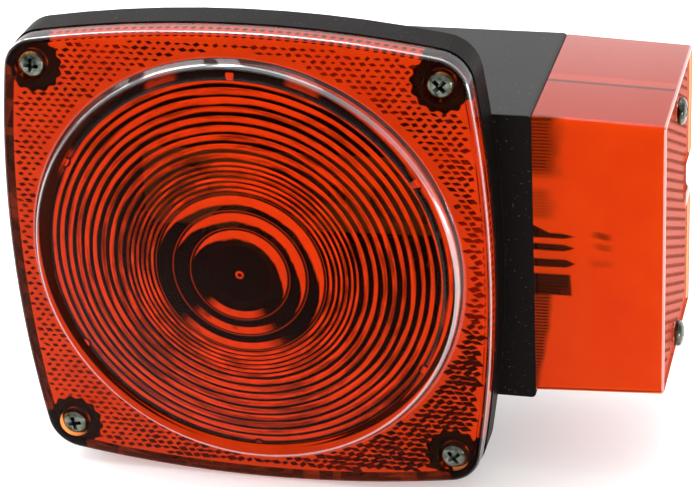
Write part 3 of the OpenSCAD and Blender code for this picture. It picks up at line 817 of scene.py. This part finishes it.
def side_ring(x, shrink, corner=0.9, steps=5):
    """Points of a rounded rectangle in Y and Z, at x."""
    d = SIDE_DRAFT * (x - SIDE_FROM) / (SIDE_TO - SIDE_FROM)
    y0, y1 = SIDE_FRONT + FRONT_DRAFT * d + shrink, -FRONT_DRAFT * d - shrink
    z0, z1 = SIDE_LOW + d + shrink, SIDE_HIGH - d - shrink
    points = []
    for quarter, (cy, cz) in enumerate(((y1 - corner, z1 - corner), (y0 + corner, z1 - corner),
                                        (y0 + corner, z0 + corner), (y1 - corner, z0 + corner))):
        for i in range(steps + 1):
            t = math.pi / 2 * (quarter + i / steps)
            points.append((x, cy + corner * math.cos(t), cz + corner * math.sin(t)))
    return points


def side_circle(x, y, z, r, count=28):
    return [(x, y + a, z + b) for a, b in around(r, count)]


# %% Build the side lens
RIM, INNER, FACE, END = range(4)


def build_side_lens(paints):
    """The lens as rings, with its four finishes: rim, inside, front face and end."""
    skin = Skin()
    outside = [skin.loop(side_ring(x, s)) for x, s in
               ((SIDE_FROM, 0.0), (SIDE_FROM + 8, 0.0), (SIDE_FROM + 20, 0.0),
                (SIDE_TO - SIDE_EDGE, 0.0), (SIDE_TO - 0.18, 0.18), (SIDE_TO, SIDE_EDGE))]
    skin.bridge_all(outside)
    for face in skin.bm.faces:
        middle = face.calc_center_median()
        on_front = middle.y < SIDE_FRONT + 0.45 * SIDE_DRAFT + 0.25
        if on_front and middle.x < SIDE_TO - SIDE_EDGE:
            face.material_index = FACE
    hollow = [skin.loop(side_ring(x, SIDE_WALL, 1.0)) for x in
              (SIDE_FROM, SIDE_FROM + 8, SIDE_FROM + 20, SIDE_TO - SIDE_WALL)]
    skin.bridge_all(hollow, INNER)
    skin.fill([outside[0], hollow[0]], RIM, flat=0)
    outer_holes, column_feet = [], []
    for z in SIDE_SCREWS_Z:
        hole = [skin.loop(side_circle(x, SIDE_SCREW_Y, z, r)) for x, r in
                ((SIDE_TO, HOLE_R), (SIDE_FROM + 0.1, HOLE_R), (SIDE_FROM + 0.1, SIDE_COLUMN_R),
                 (SIDE_TO - SIDE_WALL, SIDE_COLUMN_R))]
        skin.bridge_all(hole)
        outer_holes.append(hole[0])
        column_feet.append(hole[-1])
    skin.fill([outside[-1], *outer_holes], END, flat=0)
    skin.fill([hollow[-1], *column_feet], INNER, flat=0)
    return skin.done("side_lens_moulding", paints)


# %% Cut the finger hollow
def cut(target, cutter_skin):
    """Subtracts a closed skin from a piece, and applies the result to its mesh."""
    cutter = cutter_skin.done("cutter", [])
    boolean = target.modifiers.new("cut", "BOOLEAN")
    boolean.operation, boolean.solver, boolean.object = "DIFFERENCE", "EXACT", cutter
    graph = bpy.context.evaluated_depsgraph_get()
    mesh = bpy.data.meshes.new_from_object(target.evaluated_get(graph))
    target.modifiers.clear()
    target.data = mesh
    mesh.set_sharp_from_angle(angle=SHARP)
    bpy.data.objects.remove(cutter)
    return target


HOLLOW_R, HOLLOW_OUT, HOLLOW_Z, HOLLOW_SIDES = 11.2, 9.4, 1.5, 64


def finger_hollow():
    """A short cylinder along Y that bites into the rear edge of the end."""
    skin = Skin()
    rims = [skin.loop([(SIDE_TO + HOLLOW_OUT + a, y, HOLLOW_Z + b)
                       for a, b in around(HOLLOW_R, HOLLOW_SIDES)]) for y in (-11.0, 1.0)]
    skin.bridge_all(rims)
    for rim in rims:
        skin.fill([rim])
    return skin


# %% Dark image of the bulb holder
FLUTE_PITCH = 0.86
HOLDER_FINS = ((5.9, 0.8), (2.8, 1.0), (-1.4, 1.25))


def holder_marks(x, z, wander):
    """Three fins of the bulb holder, the block under them and the wedge above."""
    taper = ((78.6 - x + wander * 5.0) * 0.3).math("MINIMUM", 0.85)
    fins = [((z - fin + wander * 0.7).math("ABSOLUTE") - taper * half).smooth(0.25, -0.25)
            for fin, half in HOLDER_FINS]
    block = z.smooth(-10.4, -9.9) * z.smooth(-4.2, -4.7) * (x + wander * 4.0).smooth(78.0, 77.2)
    wedge = (z - 8.6 + (x - SIDE_FROM) * 0.5).smooth(0.2, -0.2) * z.smooth(5.0, 6.0)
    return highest([*fins, block, wedge])


def holder_echo(x, z, wander):
    """A fainter second image of the fins, as the end prisms throw it back."""
    echoes = [(z - fin - 0.6 + wander * 2.0).math("ABSOLUTE").smooth(1.2, 0.5)
              for fin, _ in HOLDER_FINS]
    echo = highest([echoes[0], echoes[1] * 0.55, echoes[2] * 0.3])
    return echo * (x + wander * 5.0).smooth(81.0, 84.5) * (x + wander * 4.0).smooth(88.5, 86.0)


# %% Paint of the side lens
def side_back():
    """The inside of the walls: bright red, dark near the joint and at the bulb holder, with a faint
    painted glow.
    """
    paint = Finish("fluted_red_acrylic")
    x, y, z = paint.axes()
    lines = (fraction(z / FLUTE_PITCH) - 0.5).math("ABSOLUTE") * 2.0
    wander = paint.noise(120.0, 3.0) - 0.5
    high = z.smooth(20.0, 24.0) * (x + wander * 9.0 + lines).smooth(78.0, 71.0)
    faint = z.smooth(9.5, 11.5) * z.smooth(19.5, 17.0) * (x + wander * 7.0).smooth(74.5, 70.0)
    low = z.smooth(-8.0, -10.0) * (x + (z + 10.0) * -0.12 + wander * 3.0).smooth(73.5, 71.5)
    fluted = highest([high * 0.8, faint * 0.4, low * 0.85]) * (lines * 0.4 + 0.6)
    dark = highest([fluted, holder_echo(x, z, wander) * 0.55, holder_marks(x, z, wander)])
    bright = paint.mix(wander + 0.5, (0.78, 0.165, 0.022), (0.68, 0.1, 0.012))
    front = paint.mix(dark, bright, (0.02, 0.003, 0.001))
    seam = (y + 29.6).math("ABSOLUTE").smooth(0.75, 0.45)
    band = y.smooth(-29.5, -29.0) * y.smooth(-25.0, -26.0)
    sides = paint.mix(band * 0.5, (0.46, 0.08, 0.045), (0.66, 0.17, 0.1))
    sides = paint.mix(seam, sides, (0.12, 0.03, 0.02))
    sides = paint.mix(x.smooth(99.2, 99.4), sides, (0.45, 0.055, 0.022))
    front_wall = y.smooth(-50.0, -50.6)
    colour = paint.mix(front_wall, sides, front)
    # the emission is a faint painted glow
    return paint.finish(Base_Color=colour, Roughness=0.35, Alpha=1 - front_wall * dark * 0.35,
                        Specular_IOR_Level=0.1, Emission_Color=colour, Emission_Strength=0.25)


def end_wall():
    """The outside of the end wall, dulled so that the prisms behind it show at a low angle."""
    paint = Finish("end_wall_red_acrylic")
    cloud = paint.noise(60.0, 3.0)
    red = paint.mix(cloud, (0.6, 0.1, 0.045), (0.5, 0.07, 0.03))
    return paint.finish(Base_Color=red, Roughness=cloud * 0.1 + 0.3, Alpha=0.35,
                        Specular_IOR_Level=0.0)


side_shape = build_side_lens([edge_red, side_back(), glass_red, end_wall()])
side_lens = cut(side_shape, finger_hollow())
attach(side_lens, "housing")
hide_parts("side_lens")

# %% Flutes and end prisms of the side lens
def bar_skin(radius, half_length, steps=6):
    """A half round bar along X that follows the draft of the front wall."""
    skin = Skin()
    slope = FRONT_DRAFT * SIDE_DRAFT / (SIDE_TO - SIDE_FROM)
    turns = [math.pi * i / steps for i in range(steps + 1)]
    ends = [skin.loop([(x, radius * 0.7 * math.sin(t) + x * slope, radius * math.cos(t)) for t in turns])
            for x in (-half_length, half_length)]
    skin.bridge(ends[0], ends[1])
    skin.bm.faces.new(ends[0][::-1])
    skin.bm.faces.new(ends[1])
    return skin


FLUTES = 80


def side_flutes():
    growth = Growth("side flutes", {"Pitch": FLUTE_PITCH, "Lowest": -34.4, "Wall Y": -51.25})
    first = growth.join((SIDE_FROM + 15.1) * MM, growth.size("Wall Y") * MM, growth.size("Lowest") * MM)
    step = growth.join(0.0, 0.0, growth.size("Pitch") * MM)
    line = growth.node("GeometryNodeMeshLine", {}, {"Count": FLUTES, "Start Location": first,
                                                    "Offset": step})
    bar = pattern_object("flute", bar_skin(0.4, 14.0))
    return growth.grown("side_lens_flutes", copies(growth, line, bar), glass_red)


flutes = side_flutes()

# %% Prisms behind the end wall
END_COLUMNS, END_ROWS, END_MIDDLE_Y = 17, 25, -27.0


def end_facets():
    growth = Growth("end facets", {"Pitch": 2.6, "Plane": SIDE_TO - SIDE_WALL + 0.12,
                                   "Back Edge": -8.0})
    pitch = growth.size("Pitch") * MM
    grid = growth.node("GeometryNodeMeshGrid", {},
                       {"Size X": pitch * (END_COLUMNS - 1), "Size Y": pitch * (END_ROWS - 1),
                        "Vertices X": END_COLUMNS, "Vertices Y": END_ROWS})
    place = growth.node("GeometryNodeInputPosition")
    y, z, _ = growth.split(place)
    row = (y / pitch + EVEN_OFFSET).math("ROUND").math("MODULO", 2.0)
    spot = growth.join(growth.size("Plane") * MM, y + END_MIDDLE_Y * MM, z + pitch * 0.5 * row)
    cloud = growth.node("GeometryNodeSetPosition", {}, {"Geometry": grid, "Position": spot})
    moved_y = growth.split(place)[1]
    kept = growth.node("GeometryNodeDeleteGeometry", {"domain": "POINT"},
                       {"Geometry": cloud, "Selection": moved_y > growth.size("Back Edge") * MM})
    facet = pattern_object("end facet", facet_skin(0.95, 0.6, 0.3, "x"))
    return growth.grown("side_lens_prism_facets", copies(growth, kept, facet), facet_red)


end_prisms = end_facets()
for piece in (flutes, end_prisms):
    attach(piece, "housing")

# %% [markdown]
# ## Finishes of the solid parts
# The black cup and box are moulded ABS. It has a fine spark-eroded grain, small pale flecks of
# painted sparkle, and edges that are never quite sharp: a Bevel node rounds how they shade. The
# metal parts are zinc plated, clear or yellow, with the cloudy blotches that plating leaves; the
# screws are painted much darker, and their fine blotches are partly a painted reflection. Each
# finish takes its detail from noise in the object's own space, so it stays put from any side.

# %% Moulded black plastics and rubbers
BOX_TOP, BOX_BOTTOM, BOX_LEFT, BOX_BACK, CUP_BACK = 36.4, -38.6, -45.2, -1.7, -51.6


def moulded(name, base, fleck, grain, roughness, coat=0.0, edge=0.35):
    """Grained plastic or rubber; coat is the extra gloss of the outer panels of the rear box."""
    paint = Finish(name)
    x, y, z = paint.axes()
    cloud = paint.noise(35.0, 3.0)
    # the pale flecks are painted sparkle
    painted_sparkle = paint.noise(1500.0, 1.0).smooth(0.70, 0.76)
    pits = paint.noise(2600.0, 2.0, 0.6)
    panels = highest([z > BOX_TOP, z < BOX_BOTTOM, x < BOX_LEFT, y > BOX_BACK])
    outer = panels * y.smooth(CUP_BACK - 0.7, CUP_BACK)
    clouded = paint.mix(cloud, base, tuple(c * 1.5 for c in base))
    colour = paint.mix(painted_sparkle * 0.6, clouded, fleck)
    normal = paint.bump(pits * 0.7 + cloud * 0.3, grain, paint.round_edges(edge * MM))
    return paint.finish(Base_Color=colour, Roughness=cloud * 0.12 + roughness, Normal=normal,
                        Specular_IOR_Level=0.05, Coat_Weight=outer * coat, Coat_Roughness=0.35)


def metal(name, light, dark, roughness, blotch=60.0, scratch=0.00001):
    """Plated or drawn metal with cloudy blotches and fine scratches."""
    paint = Finish(name)
    x, y, z = paint.axes()
    cloud = paint.noise(blotch, 4.0, 0.6).smooth(0.3, 0.7)
    hair = paint.noise(1.0, 2.0, 0.5, paint.join(x * 0.4, y * 6.0, z * 0.4))
    normal = paint.bump(hair, scratch, paint.round_edges(0.15 * MM))
    return paint.finish(Base_Color=paint.mix(cloud, dark, light), Metallic=1.0,
                        Roughness=hair * 0.12 + cloud * 0.08 + roughness, Normal=normal)


finishes = {
    "black_housing": moulded("black_abs", (0.0035, 0.0024, 0.002), (0.1, 0.1, 0.1), 0.00002, 0.38,
                             0.37),
    "gasket": moulded("foam_gasket", (0.012, 0.012, 0.012), (0.03, 0.03, 0.03), 0.00006, 0.8),
    "black_insulator": moulded("black_insulator_resin", (0.01, 0.01, 0.01), (0.05, 0.05, 0.05),
                               0.00002, 0.35, edge=0.2),
    "grommet_rubber": moulded("grommet_rubber", (0.014, 0.014, 0.014), (0.05, 0.05, 0.05),
                              0.00003, 0.6),
    "plated_steel": metal("yellow_zinc", (0.72, 0.6, 0.33), (0.56, 0.47, 0.34), 0.28),
    "zinc_fasteners": metal("clear_zinc", (0.42, 0.44, 0.46), (0.2, 0.21, 0.23), 0.3, 160.0),
    # the screws are painted very dark with fine high-contrast blotches, partly a painted reflection
    "screw_zinc": metal("bright_screw_plating", (0.2, 0.22, 0.18), (0.015, 0.02, 0.015), 0.1, 420.0),
    "spring_steel": metal("bright_spring_wire", (0.7, 0.7, 0.7), (0.45, 0.45, 0.46), 0.2),
    "brass": metal("stamped_brass", (0.8, 0.56, 0.22), (0.5, 0.33, 0.12), 0.22),
    "solder": metal("dull_solder", (0.5, 0.5, 0.49), (0.32, 0.32, 0.31), 0.4, 400.0),
    "filament_wire": metal("tungsten_wire", (0.3, 0.3, 0.31), (0.16, 0.16, 0.17), 0.35, 900.0),
}
print("finishes:", ", ".join(finishes))

# %% Glass, laminate and insulation
def bulb_glass():
    paint = Finish("bulb_glass")
    swirl = paint.bump(paint.noise(80.0, 2.0), 0.00005)
    smoke = paint.mix(paint.noise(50.0, 3.0), (0.97, 0.98, 0.98), (0.86, 0.88, 0.88))
    return paint.finish(Base_Color=smoke, Roughness=0.03, IOR=1.5, Transmission_Weight=1.0,
                        Normal=swirl)


def laminate():
    paint = Finish("pressed_paper_laminate")
    _, y, _ = paint.axes()
    layers = fraction(y * 2.6 + paint.noise(300.0) * 0.6)
    fibre = paint.noise(900.0, 3.0)
    colour = paint.mix(layers * 0.4 + fibre * 0.5, (0.1, 0.04, 0.015), (0.24, 0.11, 0.045))
    return paint.finish(Base_Color=colour, Roughness=fibre * 0.2 + 0.4,
                        Normal=paint.bump(fibre, 0.00003))


def insulation(name, light, dark):
    paint = Finish(name)
    tone = paint.noise(150.0, 3.0)
    return paint.finish(Base_Color=paint.mix(tone, dark, light), Roughness=tone * 0.15 + 0.35,
                        Normal=paint.bump(paint.noise(700.0, 2.0), 0.00003))


finishes["bulb_glass"] = bulb_glass()
finishes["phenolic"] = laminate()
finishes["brown_lead"] = insulation("brown_insulation", (0.16, 0.06, 0.02), (0.1, 0.035, 0.012))
finishes["white_lead"] = insulation("white_insulation", (0.8, 0.8, 0.77), (0.66, 0.65, 0.61))
finishes["splice_sleeve"] = insulation("splice_sleeve", (0.05, 0.14, 0.45), (0.03, 0.09, 0.3))
slots = {part["node"]: part["material_slot"] for part in frame["record"]["subparts"]}
for name, node in nodes.items():
    if slots[name] in finishes:
        node.data.materials.clear()
        node.data.materials.append(finishes[slots[name]])
print("solids with a finish:", sum(slots[name] in finishes for name in nodes))

# %% [markdown]
# ## Screws
# The lens is held by four pan head screws with a cross recess, and the side lens by two long ones.
# All six are one shape: a domed head with a small land under its rim, a recess cut by a tapered
# cross, and a rolled thread on the shank. Geometry Nodes copy it to its places and turn each one
# by a random angle, because nobody drives screws to the same clock position.

# %% One pan head screw
HEAD_R, HEAD_H, SHANK_R, LAND = 3.3, 2.1, 1.7, 0.75
THREAD_PITCH, THREAD_DEPTH, TIP = 0.8, 0.38, 2.2


def revolve(skin, profile, turned, count=40):
    """Loops of a (radius, height) profile; turned maps x, y and height into the piece's space."""
    loops = [skin.loop([turned(a, b, h) for a, b in around(r, count)]) for r, h in profile]
    skin.bridge_all(loops)
    return loops


def forward_axis(x, y, h):
    return (x, -h, y)


def side_axis(x, y, h):
    return (h, x, y)


def recess(turned):
    """A tapered cross that reaches from above the head down into it."""
    skin = Skin()
    rings = []
    for arm, half, h in ((2.15, 0.62, HEAD_H + 0.4), (1.95, 0.5, HEAD_H - 0.1), (0.75, 0.2, 0.55)):
        cross = [(arm, -half), (arm, half), (half, half), (half, arm), (-half, arm), (-half, half),
                 (-arm, half), (-arm, -half), (-half, -half), (-half, -arm), (half, -arm),
                 (half, -half)]
        rings.append(skin.loop([turned(x, y, h) for x, y in cross]))
    skin.bridge_all(rings)
    for ring in (rings[0], rings[-1]):
        skin.fill([ring], flat=1 if turned is forward_axis else 0)
    return skin


def screw_skin(turned, length, thread_from):
    """Head, plain neck, grooves of the thread and a blunt tip, turned about one axis."""
    bend = [math.pi / 2 * i / 9 for i in range(8, 0, -1)]
    profile = [(HEAD_R * math.cos(t) ** 0.75, LAND + (HEAD_H - LAND) * math.sin(t) ** 0.9) for t in bend]
    profile += [(HEAD_R, LAND - 0.03), (HEAD_R - 0.06, 0.12), (HEAD_R - 0.25, 0.0),
                (SHANK_R, 0.0), (SHANK_R - 0.05, -thread_from)]
    h = -thread_from
    while h > -length + TIP:
        profile += [(SHANK_R - THREAD_DEPTH, h - 0.3 * THREAD_PITCH),
                    (SHANK_R - 0.02, h - 0.75 * THREAD_PITCH)]
        h -= THREAD_PITCH
    profile.append((0.5, -length + 0.3))
    skin = Skin()
    loops = revolve(skin, profile, turned)
    skin.cap(loops[0], turned(0, 0, HEAD_H))
    skin.cap(loops[-1], turned(0, 0, -length))
    return skin


def screw_pattern(name, turned, length, thread_from):
    shape = cut(screw_skin(turned, length, thread_from).done(name, []), recess(turned))
    bpy.context.scene.collection.objects.unlink(shape)
    return shape


MOST_TURN = 1.5


def driven_screws(name, places, pattern, axis, seed):
    """Copies the screw to the places, each turned by its own angle about its axis."""
    growth = Growth(name, {"Size": 1.0, "Seed": float(seed)})
    start = bpy.data.meshes.new(name)
    start.from_pydata([tuple(c * MM for c in place) for place in places], [], [])
    cloud = growth.node("GeometryNodeMeshToPoints", {},
                        {"Mesh": Wire(growth, growth.entry.outputs["Geometry"])})
    turns = growth.node("FunctionNodeRandomValue", {"data_type": "FLOAT_VECTOR"},
                        {"Max": tuple(MOST_TURN * c for c in axis), "Seed": growth.size("Seed")})
    size = growth.size("Size")
    screws = copies(growth, cloud, pattern, turns, growth.join(size, size, size))
    return growth.grown(name, screws, finishes["screw_zinc"], start)


# %% Drive the screws
front_screw = screw_pattern("lens screw", forward_axis, 15.2, 3.0)
front_places = [(x, FACE_Y + SEAT_DEEP, z) for x, z in SCREW_PLACES]
lens_screws = driven_screws("lens_pan_screws", front_places, front_screw, (0, 1, 0), 4)
long_screw = screw_pattern("side screw", side_axis, SIDE_TO - SIDE_FROM + 10, 32.0)
side_places = [(SIDE_TO + 0.01, SIDE_SCREW_Y, z) for z in SIDE_SCREWS_Z]
side_screws = driven_screws("side_pan_screws", side_places, long_screw, (1, 0, 0), 9)
for piece, node in ((lens_screws, "main_lens_screws"), (side_screws, "side_lens_screws")):
    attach(piece, "housing")
    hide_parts(node)

# %% [markdown]
# ## Studs and spring
# The light hangs on two quarter inch studs with a rolled thread. A thread is a spiral, but at this
# size a stack of fine V grooves looks the same and makes a clean closed skin. The spring under the
# contact plate is a real coil of round wire, swept along a spiral from the housing to the plate.

# %% Threaded studs
STUD_X, STUD_HEAD, STUD_TIP = 25.4, 6.6, 22.0
STUD_PITCH, STUD_ROOT, STUD_CREST = 1.27, 2.62, 3.17


def stud_skin(x, steps=30):
    skin = Skin()
    profile = [(6.0, STUD_HEAD), (6.0, 4.05), (3.7, 4.0), (3.7, 0.0), (STUD_CREST, -0.02)]
    h = -0.1
    while h > -STUD_TIP + 1.4:
        profile += [(STUD_CREST, h), (STUD_ROOT, h - 0.5 * STUD_PITCH),
                    (STUD_CREST, h - 0.93 * STUD_PITCH)]
        h -= STUD_PITCH
    profile += [(2.3, -STUD_TIP + 0.3), (2.0, -STUD_TIP)]
    loops = revolve(skin, profile, lambda a, b, height: (x + a, -height, b), steps)
    skin.cap(loops[0], (x, -STUD_HEAD, 0))
    skin.cap(loops[-1], (x, STUD_TIP, 0))
    return skin


studs = [stud_skin(s * STUD_X).done(f"threaded_stud_{'left' if s < 0 else 'right'}",
                                  [finishes["zinc_fasteners"]]) for s in (-1, 1)]
for stud in studs:
    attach(stud, "housing")
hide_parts("mounting_studs")

# %% Coil spring under the contact plate
SPRING_R, WIRE_R, SPRING_LOW, SPRING_HIGH = 6.4, 0.35, 5.2, 10.05


def coil_skin(turns=4.25, steps=36, sides=10):
    skin = Skin()
    total = int(turns * steps)
    loops = []
    for i in range(total + 1):
        part = i / total
        climb = max(0.0, min(1.0, (part * turns - 0.5) / (turns - 1.0)))
        t = math.tau * turns * part
        h = SPRING_LOW + (SPRING_HIGH - SPRING_LOW) * climb
        loops.append(skin.loop([((SPRING_R + a) * math.cos(t), -h - b, (SPRING_R + a) * math.sin(t))
                                for a, b in around(WIRE_R, sides)]))
    skin.bridge_all(loops)
    skin.bm.faces.new(loops[0])
    skin.bm.faces.new(loops[-1])
    return skin


spring = coil_skin().done("contact_coil_spring", [finishes["spring_steel"]])
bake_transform(spring)
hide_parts("contact_spring")
